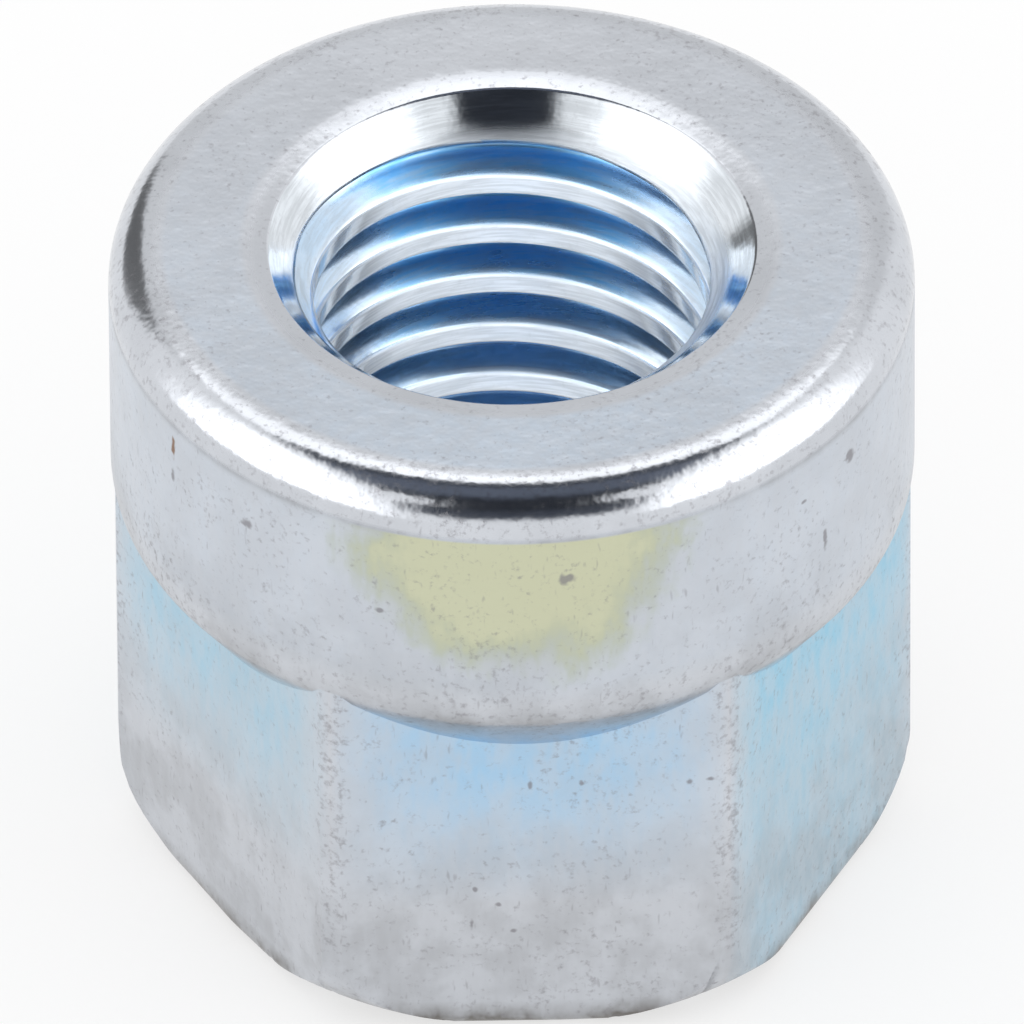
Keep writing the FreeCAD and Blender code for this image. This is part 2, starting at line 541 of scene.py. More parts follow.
class ThreadedBore:
    """The bore's wall with its countersinks and the right-hand thread cut into it."""

    ROWS_PER_TURN = 24
    CREST_ROUNDING = 0.03
    ROOT_ROUNDING = 0.12
    FILM_START = 6.0
    HAZE_START = 0.42
    HAZE_END = 0.1
    THIN_START = 1.5
    THIN_END = 5.5
    FILM_DEEP_DOWN = 0.6
    FILM_SIDES = (0.66, 0.93, 0.3)
    CREST_SIDES = (0.6, 0.95, 0.45)

    def __init__(self, sizes: NutSizes) -> None:
        """Takes the nut's sizes."""
        self.sizes = sizes

    def tree(self) -> bpy.types.NodeTree:
        """The Geometry Nodes tree that winds a strip up the bore, one turn a pitch.

        The strip is a grid, as long as the thread and one pitch wide. Each point is moved
        out to the thread's outline, and where a countersink is wider, to that.

        Returns:
            The tree, with the sizes as named inputs.
        """
        tree = bpy.data.node_groups.new("helical_thread", "GeometryNodeTree")
        number, whole = "NodeSocketFloat", "NodeSocketInt"
        names = (
            "Pitch", "Crest Radius", "Root Radius", "Crest Flat", "Phase", "Bottom", "Top",
            "Bottom Radius", "Top Radius", "Turns", "First Height", "Crest Rounding",
            "Root Rounding", "Haze Start", "Haze End", "Thin Start", "Thin End",
        )
        inputs = {"Geometry": ("NodeSocketGeometry", None)}
        inputs.update({name: (number, 1.0) for name in names})
        inputs["Columns"] = (whole, 2)
        inputs["Rows"] = (whole, 2)
        inputs["Finish"] = ("NodeSocketMaterial", None)
        new_sockets(tree, inputs, {"Geometry": "NodeSocketGeometry"})
        bench = NodeBench(tree)
        given = bench.add("NodeGroupInput").outputs
        grid = bench.add(
            "GeometryNodeMeshGrid", Size_X=1.0, Size_Y=1.0,
            Vertices_X=given["Columns"], Vertices_Y=given["Rows"],
        ).outputs["Mesh"]
        place = bench.add("ShaderNodeSeparateXYZ")
        bench.put(place.inputs[0], bench.add("GeometryNodeInputPosition").outputs[0])
        along = bench.math("MULTIPLY", bench.math("ADD", place.outputs["X"], 0.5), given["Turns"])
        across = place.outputs["Y"]
        angle = bench.math("MULTIPLY", along, 2 * math.pi)
        rise = bench.math("ADD", bench.math("ADD", along, across), given["Phase"])
        free = bench.math("MULTIPLY_ADD", rise, given["Pitch"], given["First Height"])
        height = bench.math("MINIMUM", bench.math("MAXIMUM", free, given["Bottom"]), given["Top"])
        off_groove = bench.math("ABSOLUTE", across)
        groove_half = bench.math(
            "SUBTRACT", bench.math("MULTIPLY", given["Pitch"], 0.5),
            bench.math("MULTIPLY", given["Crest Flat"], 0.5),
        )
        into = bench.math(
            "SUBTRACT", groove_half, bench.math("MULTIPLY", off_groove, given["Pitch"]),
        )
        flank = bench.math("MULTIPLY_ADD", into, math.sqrt(3.0), given["Crest Radius"])
        rooted = bench.math("SMOOTH_MIN", flank, given["Root Radius"], given["Root Rounding"])
        thread = bench.math("SMOOTH_MAX", rooted, given["Crest Radius"], given["Crest Rounding"])
        from_top = bench.math("SUBTRACT", given["Top"], height)
        from_bottom = bench.math("SUBTRACT", height, given["Bottom"])
        cones = bench.math(
            "MAXIMUM", bench.math("SUBTRACT", given["Top Radius"], from_top),
            bench.math("SUBTRACT", given["Bottom Radius"], from_bottom),
        )
        radius = bench.math("MAXIMUM", thread, cones)
        point = bench.add(
            "ShaderNodeCombineXYZ",
            X=bench.math("MULTIPLY", radius, bench.math("COSINE", angle)),
            Y=bench.math("MULTIPLY", radius, bench.math("SINE", angle)), Z=height,
        ).outputs[0]
        span = bench.math("SUBTRACT", given["Root Radius"], given["Crest Radius"])
        depth = bench.math("DIVIDE", bench.math("SUBTRACT", thread, given["Crest Radius"]), span)
        flanks = bench.math("MULTIPLY", depth, self.FILM_START, clamp=True)
        broadside = bench.math("ABSOLUTE", bench.math("SINE", angle))
        thick = bench.math(
            "MULTIPLY", bench.ramp(broadside, *self.FILM_SIDES), bench.ramp(
                from_top, given["Thin Start"], given["Thin End"], 1.0, self.FILM_DEEP_DOWN,
            ),
        )
        off_cone = bench.math("LESS_THAN", cones, thread)
        up_cone = bench.math("SUBTRACT", cones, given["Crest Radius"])
        hazy = bench.ramp(up_cone, given["Haze Start"], given["Haze End"])
        hazy = bench.math("MULTIPLY", hazy, bench.math("SUBTRACT", 1.0, off_cone))
        # Painted highlight: the crests are dullest where the bore faces front and back, where the crest
        # light brightens them.
        crests = bench.math("MULTIPLY", bench.math("SUBTRACT", 1.0, flanks), off_cone)
        crests = bench.math("MULTIPLY", crests, bench.ramp(broadside, *self.CREST_SIDES))
        groove = bench.math("MULTIPLY", bench.math("MULTIPLY", flanks, off_cone), thick)
        store = {"data_type": "FLOAT", "domain": "POINT"}
        for name, value in (("groove", groove), ("haze", hazy), ("crest", crests)):
            grid = bench.add(
                "GeometryNodeStoreNamedAttribute", store, Geometry=grid, Name=name, Value=value,
            ).outputs[0]
        wound = bench.add("GeometryNodeSetPosition", Geometry=grid, Position=point).outputs[0]
        merged = bench.add(
            "GeometryNodeMergeByDistance", Geometry=wound, Distance=MERGE_DISTANCE * MM,
        ).outputs[0]
        real = bench.add("GeometryNodeRealizeInstances", Geometry=merged).outputs[0]
        dressed = bench.add(
            "GeometryNodeSetMaterial", Geometry=real, Material=given["Finish"],
        ).outputs[0]
        bench.put(bench.add("NodeGroupOutput").inputs["Geometry"], dressed)
        return tree

    def mesh(self, finish: bpy.types.Material) -> bpy.types.Mesh:
        """Winds the thread and turns it into a plain mesh.

        Args:
            finish: the material of the bore.

        Returns:
            The bore's wall, open at its two lips.
        """
        s = self.sizes
        top_radius, top_depth = s.collar_lip[-1]
        bottom_radius, bottom_depth = s.hexagon_lip[-1]
        turns = math.ceil(s.total_height / s.thread_pitch) + 3
        lead = s.first_crest_azimuth / 360 + 0.5
        turns_down = math.ceil(s.first_crest_height / s.thread_pitch) + 1
        tree = self.tree()
        holder = bpy.data.objects.new("bore_strip", bpy.data.meshes.new("bore_strip"))
        bpy.context.scene.collection.objects.link(holder)
        modifier = holder.modifiers.new("thread", "NODES")
        modifier.node_group = tree
        values = {
            "Pitch": s.thread_pitch * MM,
            "Crest Radius": s.bore_diameter / 2 * MM,
            "Root Radius": s.thread_diameter / 2 * MM,
            "Crest Flat": s.thread_crest_flat * MM,
            "Phase": -lead - turns_down,
            "Bottom": bottom_depth * MM,
            "Top": (s.total_height - top_depth) * MM,
            "Bottom Radius": bottom_radius * MM,
            "Top Radius": top_radius * MM,
            "Turns": float(turns),
            "First Height": s.first_crest_height * MM,
            "Crest Rounding": self.CREST_ROUNDING * MM,
            "Root Rounding": self.ROOT_ROUNDING * MM,
            "Haze Start": self.HAZE_START * MM,
            "Haze End": self.HAZE_END * MM,
            "Thin Start": self.THIN_START * MM,
            "Thin End": self.THIN_END * MM,
            "Columns": turns * COLUMNS + 1,
            "Rows": self.ROWS_PER_TURN + 1,
            "Finish": finish,
        }
        for socket in tree.interface.items_tree:
            if socket.in_out == "INPUT" and socket.name in values:
                modifier[socket.identifier] = values[socket.name]
        bpy.context.view_layer.update()
        evaluated = holder.evaluated_get(bpy.context.evaluated_depsgraph_get())
        mesh = bpy.data.meshes.new_from_object(evaluated)
        holder.modifiers.clear()
        bpy.data.objects.remove(holder)
        return mesh


@dataclass(frozen=True)
class ZincFinish:
    """How one stretch of the zinc plate looks.

    Colours are linear, and lengths are in millimetres.
    """

    name: str
    metal: tuple[float, float, float, float]
    blue_film: tuple[float, float, float, float]
    teal_film: tuple[float, float, float, float]
    roughness: float
    rubbed_roughness: float
    film_roughness: float
    speck_share: float
    grain_depth: float
    drawn: tuple[float, float, float]
    marked: bool


SATIN = ZincFinish(
    name="satin_zinc", metal=(0.645, 0.67, 0.715, 1), blue_film=(0.28, 0.61, 0.95, 1),
    teal_film=(0.24, 0.58, 0.68, 1), roughness=0.32, rubbed_roughness=0.15,
    film_roughness=0.32, speck_share=0.55, grain_depth=0.005,
    drawn=(1.0, 1.0, 0.35), marked=True,
)
BRIGHT = ZincFinish(
    name="bright_bore_zinc", metal=(0.80, 0.85, 0.90, 1), blue_film=(0.22, 0.59, 1.0, 1),
    teal_film=(0.22, 0.59, 1.0, 1), roughness=0.11, rubbed_roughness=0.11,
    film_roughness=0.34, speck_share=0.15, grain_depth=0.0015,
    drawn=(0.35, 0.35, 6.0), marked=False,
)


@dataclass(frozen=True)
class Mark:
    """A nick or a speck that stands out on the nut's outside, in millimetres and degrees."""

    azimuth: float
    height: float
    width: float
    length: float
    radius: float = 6.2

    @property
    def centre(self) -> tuple[float, float, float]:
        """Where the mark lies."""
        turn = math.radians(self.azimuth)
        return self.radius * math.cos(turn), self.radius * math.sin(turn), self.height


DARK_MARKS = (
    Mark(-149.6, 9.55, 0.05, 0.14), Mark(-133.6, 9.70, 0.11, 0.09), Mark(-111.7, 8.95, 0.08, 0.05),
    Mark(-85.0, 9.80, 0.13, 0.12), Mark(-36.0, 9.95, 0.10, 0.16), Mark(-46.5, 9.75, 0.07, 0.04),
    Mark(-42.0, 8.70, 0.05, 0.22), Mark(-99.0, 2.92, 0.05, 0.06, 5.46), Mark(-95.2, 2.58, 0.06, 0.05, 5.42),
    Mark(-99.6, 2.20, 0.04, 0.10, 5.47), Mark(-92.8, 2.05, 0.06, 0.05, 5.41),
    Mark(-90.0, 5.00, 0.04, 0.09, 5.40), Mark(-81.6, 5.00, 0.05, 0.05, 5.46),
    Mark(-65.6, 4.95, 0.06, 0.07, 5.94), Mark(-62.6, 5.00, 0.08, 0.04, 6.05),
    Mark(-20.0, 6.10, 0.20, 0.05, 5.70), Mark(18.0, 11.0, 0.10, 0.12, 5.95),
)
RUST_MARKS = (Mark(-149.5, 10.13, 0.045, 0.19),)


class PlatingShop:
    """Makes the node groups and the materials of the zinc plate.

    The thread's crests are zinc like the rest, but they are shown as partly dull, because as
    plain metal they only mirror the dark wall across the bore. Lit by the crest light, the dull
    crests make a painted highlight, strongest where the bore faces front and back.
    """

    CREST_METALLIC = 0.35
    HAZE_ROUGHNESS = 0.4
    SPECK_ROUGHNESS = 0.25
    RUBBED_GRAIN = 0.45
    SPECK_COLOUR = (0.27, 0.26, 0.28, 1)
    # The colour of the painted shade near the foot, over the shoulder and under the edge.
    PAINTED_SHADE_COLOUR = (0.20, 0.19, 0.18, 1)
    RUST_COLOUR = (0.27, 0.17, 0.12, 1)
    STAIN_COLOUR = (0.62, 0.63, 0.41, 1)
    STAIN_RIM_COLOUR = (0.46, 0.50, 0.36, 1)
    STAIN_CENTRE = (-0.2, -6.2, 10.3)
    STAIN_REACH = (2.8, 2.8, 2.5)
    STAIN_TOP = 10.52

    def __init__(self) -> None:
        """Builds the shared groups once."""
        self.mottle = self.mottle_group()
        self.specks = self.speck_group()
        self.dark_marks = self.mark_group("dark_marks", DARK_MARKS)
        self.rust_marks = self.mark_group("rust_marks", RUST_MARKS)

    def mottle_group(self) -> bpy.types.NodeTree:
        """The clouds in the plate and the fine dimples of its skin.

        Returns:
            A shader group that takes a place in millimetres.
        """
        tree = bpy.data.node_groups.new("plate_mottle", "ShaderNodeTree")
        vector, number = ("NodeSocketVector", None), "NodeSocketFloat"
        new_sockets(
            tree, {"Place": vector, "Drawn": ("NodeSocketVector", (1.0, 1.0, 1.0))},
            {"Clouds": number, "Streaks": number, "Height": number},
        )
        bench = NodeBench(tree)
        given = bench.add("NodeGroupInput").outputs
        result = bench.add("NodeGroupOutput").inputs
        clouds = bench.noise(given["Place"], 0.75, 4.0)
        drawn = bench.add("ShaderNodeVectorMath", {"operation": "MULTIPLY"})
        bench.put(drawn.inputs[0], given["Place"])
        bench.put(drawn.inputs[1], given["Drawn"])
        streaks = bench.noise(drawn.outputs[0], 4.0, 2.0)
        fine = bench.noise(given["Place"], 7.0, 1.0)
        broad = bench.noise(given["Place"], 3.2, 2.0)
        dimples = bench.math("MULTIPLY_ADD", broad, 3.2, bench.math("MULTIPLY", fine, 0.7))
        bench.put(result["Clouds"], bench.ramp(clouds, 0.36, 0.64))
        bench.put(result["Streaks"], bench.ramp(streaks, 0.35, 0.68))
        bench.put(result["Height"], bench.math("MULTIPLY_ADD", streaks, 0.2, dimples))
        return tree

    def speck_group(self) -> bpy.types.NodeTree:
        """Dark specks, pits and short scratches, thicker in some places than in others.

        Returns:
            A shader group that takes a place in millimetres.
        """
        tree = bpy.data.node_groups.new("plate_specks", "ShaderNodeTree")
        vector, number = ("NodeSocketVector", None), "NodeSocketFloat"
        inputs = {"Place": vector, "Share": (number, 0.5), "Crowding": (number, 0.0)}
        new_sockets(tree, inputs, {"Specks": number})
        bench = NodeBench(tree)
        given = bench.add("NodeGroupInput").outputs
        result = bench.add("NodeGroupOutput").inputs
        crowd = bench.ramp(bench.noise(given["Place"], 0.55, 3.0), 0.42, 0.62)
        crowd = bench.math("ADD", crowd, given["Crowding"])
        grit = bench.noise(given["Place"], 9.0, 3.0)
        raised = bench.math("MULTIPLY_ADD", crowd, 0.06, grit)
        specks = bench.ramp(raised, 0.58, 0.85)
        long_place = bench.add("ShaderNodeMapping", Vector=given["Place"], Scale=(1.0, 1.0, 0.28))
        long_place.inputs["Rotation"].default_value = (0.10, 0.16, 0.0)
        strokes = bench.ramp(bench.noise(long_place.outputs[0], 12.0, 1.0), 0.66, 0.84)
        both = bench.math("MAXIMUM", specks, bench.math("MULTIPLY", strokes, 0.7))
        bench.put(result["Specks"], bench.math("MULTIPLY", both, given["Share"]))
        return tree

    def mark_group(self, name: str, marks: tuple[Mark, ...]) -> bpy.types.NodeTree:
        """The marks that lie at places of their own.

        Args:
            name: the group's name.
            marks: where they lie and how large they are.

        Returns:
            A shader group that takes a place in millimetres.
        """
        tree = bpy.data.node_groups.new(name, "ShaderNodeTree")
        new_sockets(tree, {"Place": ("NodeSocketVector", None)}, {"Marks": "NodeSocketFloat"})
        bench = NodeBench(tree)
        given = bench.add("NodeGroupInput").outputs
        result = bench.add("NodeGroupOutput").inputs
        wobble = bench.math("MULTIPLY_ADD", bench.noise(given["Place"], 8.0, 1.0), 1.6, -0.8)
        total = 0.0
        for mark in marks:
            reach = (mark.width, mark.width, mark.length)
            away = bench.distance(given["Place"], mark.centre, reach)
            mask = bench.ramp(bench.math("ADD", away, wobble), 1.25, 0.45)
            total = bench.math("MAXIMUM", mask, total)
        bench.put(result["Marks"], total)
        return tree

    def surface_places(self, bench: NodeBench) -> bpy.types.NodeSocket:
        """The place on the nut in millimetres, from its object coordinates."""
        place = bench.add("ShaderNodeMapping", Scale=(1 / MM, 1 / MM, 1 / MM))
        bench.put(place.inputs["Vector"], bench.add("ShaderNodeTexCoord").outputs["Object"])
        return place.outputs[0]

    def material(self, finish: ZincFinish) -> bpy.types.Material:
        """Makes one finish.

        Args:
            finish: its colours and sizes.

        Returns:
            The material.
        """
        material = bpy.data.materials.new(finish.name)
        material.use_nodes = True
        tree = material.node_tree
        tree.nodes.clear()
        bench = NodeBench(tree)
        place = self.surface_places(bench)
        mottle = bench.group(self.mottle, Place=place, Drawn=finish.drawn)
        specks = bench.group(
            self.specks, Place=place, Share=finish.speck_share, Crowding=bench.attribute("grit"),
        )
        film, teal, rubbed = (bench.attribute(name) for name in ("film", "teal", "rubbed"))
        cloudy = bench.math("MULTIPLY_ADD", mottle["Clouds"], 0.3, 0.82)
        uneven = bench.math("MULTIPLY_ADD", mottle["Streaks"], 0.35, 0.8)
        amount = bench.math("MULTIPLY", bench.math("MULTIPLY", film, cloudy), uneven, clamp=True)
        tint = bench.blend(teal, finish.blue_film, finish.teal_film)
        base = bench.blend(
            mottle["Streaks" if finish is BRIGHT else "Clouds"],
            bench.shade(finish.metal, 0.8 if finish is BRIGHT else 0.93), finish.metal,
        )
        colour = bench.blend(amount, base, tint)
        # Painted shade: the colour is darkened near the foot, low on the flats and wall, over the shoulder
        # and under the edge, broken up by the clouds and streaks.
        patchy = bench.math("MULTIPLY", uneven, bench.ramp(mottle["Clouds"], 0.0, 1.0, 1.35, 0.65))
        painted_shade = bench.math("MULTIPLY", bench.attribute("painted_shade"), patchy, clamp=True)
        colour = bench.blend(painted_shade, colour, self.PAINTED_SHADE_COLOUR)
        dark = specks["Specks"]
        if finish.marked:
            away = bench.distance(place, self.STAIN_CENTRE, self.STAIN_REACH)
            ragged = bench.math("MULTIPLY_ADD", mottle["Clouds"], -0.16, away)
            ragged = bench.math("MULTIPLY_ADD", mottle["Streaks"], -0.1, ragged)
            up = bench.add("ShaderNodeSeparateXYZ", Vector=place).outputs["Z"]
            stain = bench.math(
                "MULTIPLY", bench.ramp(ragged, 0.95, 0.58, 0.0, 0.85),
                bench.ramp(up, self.STAIN_TOP + 0.05, self.STAIN_TOP),
            )
            yellow = bench.blend(
                bench.ramp(ragged, 0.45, 0.8), self.STAIN_COLOUR, self.STAIN_RIM_COLOUR,
            )
            colour = bench.blend(stain, colour, yellow)
            own_marks = bench.group(self.dark_marks, Place=place)["Marks"]
            dark = bench.math("MAXIMUM", bench.math("MULTIPLY", own_marks, 0.75), dark)
        colour = bench.blend(dark, colour, self.SPECK_COLOUR)
        if finish.marked:
            rust = bench.group(self.rust_marks, Place=place)["Marks"]
            colour = bench.blend(rust, colour, self.RUST_COLOUR)
        rough = bench.ramp(amount, 0, 1, finish.roughness, finish.film_roughness)
        worn = bench.ramp(rubbed, 0, 1, 0.0, finish.rubbed_roughness - finish.roughness)
        rough = bench.math("ADD", rough, worn)
        haze = bench.attribute("haze")
        rough = bench.math("MULTIPLY_ADD", haze, self.HAZE_ROUGHNESS, rough)
        metallic = bench.ramp(bench.attribute("crest"), 0.0, 1.0, 1.0, self.CREST_METALLIC)
        rough = bench.math("MULTIPLY_ADD", dark, self.SPECK_ROUGHNESS, rough)
        depth = finish.grain_depth * MM
        grain = bench.ramp(rubbed, 0.0, 1.0, depth, depth * self.RUBBED_GRAIN)
        bump = bench.add("ShaderNodeBump", Strength=1.0, Distance=grain, Height=mottle["Height"])
        shader = bench.add(
            "ShaderNodeBsdfPrincipled", Base_Color=colour, Metallic=metallic, Roughness=rough,
            Normal=bump.outputs[0],
        )
        output = bench.add("ShaderNodeOutputMaterial", Surface=shader.outputs[0])
        output.is_active_output = True
        return material


class ShaftNut:
    """The whole nut: its outside, its threaded bore and their plating."""

    FACE_RUBBING = 0.15
    SHARP_TURN = 20.0
    FRONT = -90.0
    FILM_FOOT = 2.6
    FILM_RISE = 2.8
    FLAT_FILM = 0.52
    BLUER_FLATS = (1, 4)
    BLUER_FILM = 0.42
    BLUER_GAIN = 0.25
    CRESCENT_FILM = 1.3
    WALL_FILM = 0.05
    TOP_FILM = 0.06
    # Amounts of painted shade: low on the flats, at the foot, over the shoulder and crescents, under the
    # edge and low on the wall.
    LOW_SHADE = 0.17
    LOW_SHADE_TOP = 4.5
    FOOT_SHADE = 1.15
    SHOULDER_SHADE = (0.1, 0.3)
    CRESCENT_SHADE = 0.2
    EDGE_SHADE = 0.25
    WALL_SHADE = 0.12
    LOW_WALL = 1.5

    def __init__(self, sizes: NutSizes, shop: PlatingShop) -> None:
        """Takes the sizes and the maker of the finishes."""
        self.sizes = sizes
        self.shop = shop

    def film(self, row: Row) -> tuple[np.ndarray, np.ndarray]:
        """How thick the blue film lies on one ring, and how far it turns to teal.

        Args:
            row: the ring.

        Returns:
            Both as numbers from 0 to 1, one for each column.
        """
        s = self.sizes
        off_front = (row.angle - self.FRONT + 180) % 360 - 180
        flat_number = np.round(off_front / SECTOR)
        across = np.abs(off_front - flat_number * SECTOR) / (SECTOR / 2)
        even = np.zeros(COLUMNS)
        if row.region in (Region.FLAT, Region.FOOT):
            rise = np.clip((row.height - self.FILM_FOOT) / self.FILM_RISE, 0, 1)
            film = self.FLAT_FILM * rise * (1 - across ** 4)
            bluer = np.isin(flat_number % HEXAGON_SIDES, self.BLUER_FLATS)
            full = (self.BLUER_FILM + self.BLUER_GAIN * rise) * (1 - across ** 8)
            film = np.where(bluer, full, film)
            return film, np.where(flat_number == 0, 0.15, 0.6)
        if row.region is Region.SHOULDER:
            lean = math.radians(s.shoulder_angle)
            cone_start = s.collar_radius - s.shoulder_radius * (1 - math.cos(lean))
            down = np.clip((cone_start - 0.03 - row.radius) / 0.1, 0, 1)
            return self.CRESCENT_FILM * down, np.clip(across * 2.4 - 0.35, 0, 1)
        if row.region is Region.WALL:
            return even + self.WALL_FILM, even
        if row.region is Region.TOP_FACE:
            return even + self.TOP_FILM * (1 + np.cos(np.radians(off_front))), even
        return even, even

    def rubbing(self, row: Row) -> np.ndarray:
        """How far one ring is rubbed bright, which fades out towards the top face."""
        s = self.sizes
        if row.region is Region.EDGE:
            out = (row.radius - s.collar_radius + s.collar_top_radius) / s.collar_top_radius
            return np.clip(out / 0.25, self.FACE_RUBBING, 1)
        if row.region is Region.LIP:
            mouth = (s.collar_mouth_diameter if row.height[0] > s.total_height / 2
                     else s.hexagon_mouth_diameter)
            return np.clip((mouth / 2 - row.radius) / s.hexagon_ring_width, self.FACE_RUBBING, 1)
        faces = (Region.TOP_FACE, Region.END_FACE)
        return np.full(COLUMNS, self.FACE_RUBBING if row.region in faces else 0.0)

    def painted_shade(self, row: Row) -> np.ndarray:
        """How much painted shade one ring gets: at the foot, low on the flats, under the edge, low on the
        wall and over the shoulder.
        """
        s = self.sizes
        if row.region in (Region.FOOT, Region.FLAT):
            low = np.clip((self.LOW_SHADE_TOP - row.height) / 2.5, 0, 1)
            foot = np.clip(1.2 - row.height / 0.5, 0, 1)
            return np.maximum(self.LOW_SHADE * low, self.FOOT_SHADE * foot)
        if row.region is Region.SHOULDER:
            round_height = s.shoulder_radius * math.sin(math.radians(s.shoulder_angle))
            down = (s.wall_bottom - row.height) / round_height
            off_front = np.abs((row.angle - self.FRONT + 180) % SECTOR - SECTOR / 2)
            ends = np.clip(1 - off_front / (SECTOR / 2), 0, 1)
            start, gain = self.SHOULDER_SHADE
            rounding = start + gain * np.clip(down, 0, 1)
            return np.where(down < 0.97, rounding, self.CRESCENT_SHADE * ends)
        if row.region is Region.WALL:
            below_edge = s.total_height - s.collar_top_radius - row.height
            low = np.clip(1 - (row.height - s.wall_bottom) / self.LOW_WALL, 0, 1)
            under_edge = np.clip(1 - below_edge / 0.1, 0, 1)
            return np.maximum(self.EDGE_SHADE * under_edge, self.WALL_SHADE * low)
        return np.zeros(COLUMNS)

    def outside(self) -> tuple[np.ndarray, list, dict]:
        """Points, faces and marks of the outside.

        Returns:
            The points in millimetres, the faces, and each mark's value at every point.
        """
        outline = NutOutline(self.sizes)
        rows = outline.build()
        points = []
        marks = {"rubbed": [], "film": [], "teal": [], "grit": [], "painted_shade": []}
        for row in rows:
            turn = np.radians(row.angle)
            ring = np.stack([row.radius * np.cos(turn), row.radius * np.sin(turn), row.height], 1)
            points.append(ring)
            film, teal = self.film(row)
            marks["rubbed"].append(self.rubbing(row))
            marks["film"].append(film)
            marks["teal"].append(teal)
            on_land = outline.on_land & (row.region is Region.FLAT)
            low_wall = np.clip(1 - (row.height - self.sizes.wall_bottom) / self.LOW_WALL, 0, 1)
            low_wall = low_wall * (row.region in (Region.WALL, Region.SHOULDER))
            low_foot = (row.region is Region.FOOT) * 0.6
            edge = (row.region is Region.EDGE) * 0.9
            marks["grit"].append(on_land * 1.6 + low_foot + 0.8 * low_wall + edge)
            marks["painted_shade"].append(self.painted_shade(row))
        faces = []
        for step in range(len(rows) - 1):
            for column in range(COLUMNS):
                after = (column + 1) % COLUMNS
                low, high = step * COLUMNS, (step + 1) * COLUMNS
                faces.append((low + column, low + after, high + after, high + column))
        return np.concatenate(points), faces, {k: np.concatenate(v) for k, v in marks.items()}

    def build(self) -> bpy.types.Object:
        """Joins the outside and the bore into one closed mesh.

        Returns:
            The nut's object, at the origin.
        """
        satin, bright = self.shop.material(SATIN), self.shop.material(BRIGHT)
        bore = ThreadedBore(self.sizes).mesh(bright)
        points, faces, marks = self.outside()
        count = len(points)
        bore_points = np.empty(len(bore.vertices) * 3, np.float32)
        bore.vertices.foreach_get("co", bore_points)
        bore_points = bore_points.reshape(-1, 3).astype(float)
        bore_faces = [tuple(v + count for v in face.vertices) for face in bore.polygons]
        names = ("groove", "haze", "crest")
        groove, haze, crest = (self.stored(bore, name) for name in names)
        mesh = bpy.data.meshes.new("plated_nut")
        everything = np.concatenate([points * MM, bore_points])
        mesh.from_pydata(everything.tolist(), [], faces + bore_faces)
        nothing = np.zeros(len(bore.vertices))
        layers = {
            "rubbed": np.concatenate([marks["rubbed"], nothing + 1]),
            "film": np.concatenate([marks["film"], groove]),
            "teal": np.concatenate([marks["teal"], nothing]),
            "grit": np.concatenate([marks["grit"], nothing]),
            "painted_shade": np.concatenate([marks["painted_shade"], nothing]),
            "haze": np.concatenate([np.zeros(count), haze]),
            "crest": np.concatenate([np.zeros(count), crest]),
        }
        for name, values in layers.items():
            layer = mesh.attributes.new(name, "FLOAT", "POINT")
            layer.data.foreach_set("value", values.astype(np.float32))
        mesh.materials.append(satin)
        mesh.materials.append(bright)
        slots = np.concatenate([np.zeros(len(faces)), np.ones(len(bore_faces))])
        mesh.polygons.foreach_set("material_index", slots.astype(np.int32))
        self.close(mesh)
        bpy.data.meshes.remove(bore)
        nut = bpy.data.objects.new("plated_nut", mesh)
        bpy.context.scene.collection.objects.link(nut)
        return nut

    @staticmethod
    def stored(mesh: bpy.types.Mesh, name: str) -> np.ndarray:
        """The numbers that a mesh holds at its points under a name."""
        values = np.empty(len(mesh.vertices), np.float32)
        mesh.attributes[name].data.foreach_get("value", values)
        return values

    def close(self, mesh: bpy.types.Mesh) -> None:
        """Merges the seams, turns the faces outwards and marks the sharp edges.

        Args:
            mesh: the joined mesh, changed in place.
        """
        bm = bmesh.new()
        bm.from_mesh(mesh)
        bmesh.ops.remove_doubles(bm, verts=bm.verts, dist=MERGE_DISTANCE * MM)
        bmesh.ops.dissolve_degenerate(bm, edges=bm.edges, dist=MERGE_DISTANCE * MM)
        bmesh.ops.recalc_face_normals(bm, faces=bm.faces)
        if bm.calc_volume(signed=True) < 0:
            bmesh.ops.reverse_faces(bm, faces=bm.faces)
        limit = math.radians(self.SHARP_TURN)
        inner = (self.sizes.collar_mouth_diameter / 2 + 0.1) * MM
        open_edges = 0
        for edge in bm.edges:
            open_edges += not edge.is_manifold
            middle = (edge.verts[0].co + edge.verts[1].co) / 2
            far_out = math.hypot(middle.x, middle.y) > inner
            edge.smooth = not (far_out and edge.is_manifold and edge.calc_face_angle() > limit)
        for face in bm.faces:
            face.smooth = True
        log.info("seams left open: %d, faces: %d", open_edges, len(bm.faces))
        bm.to_mesh(mesh)
        bm.free()


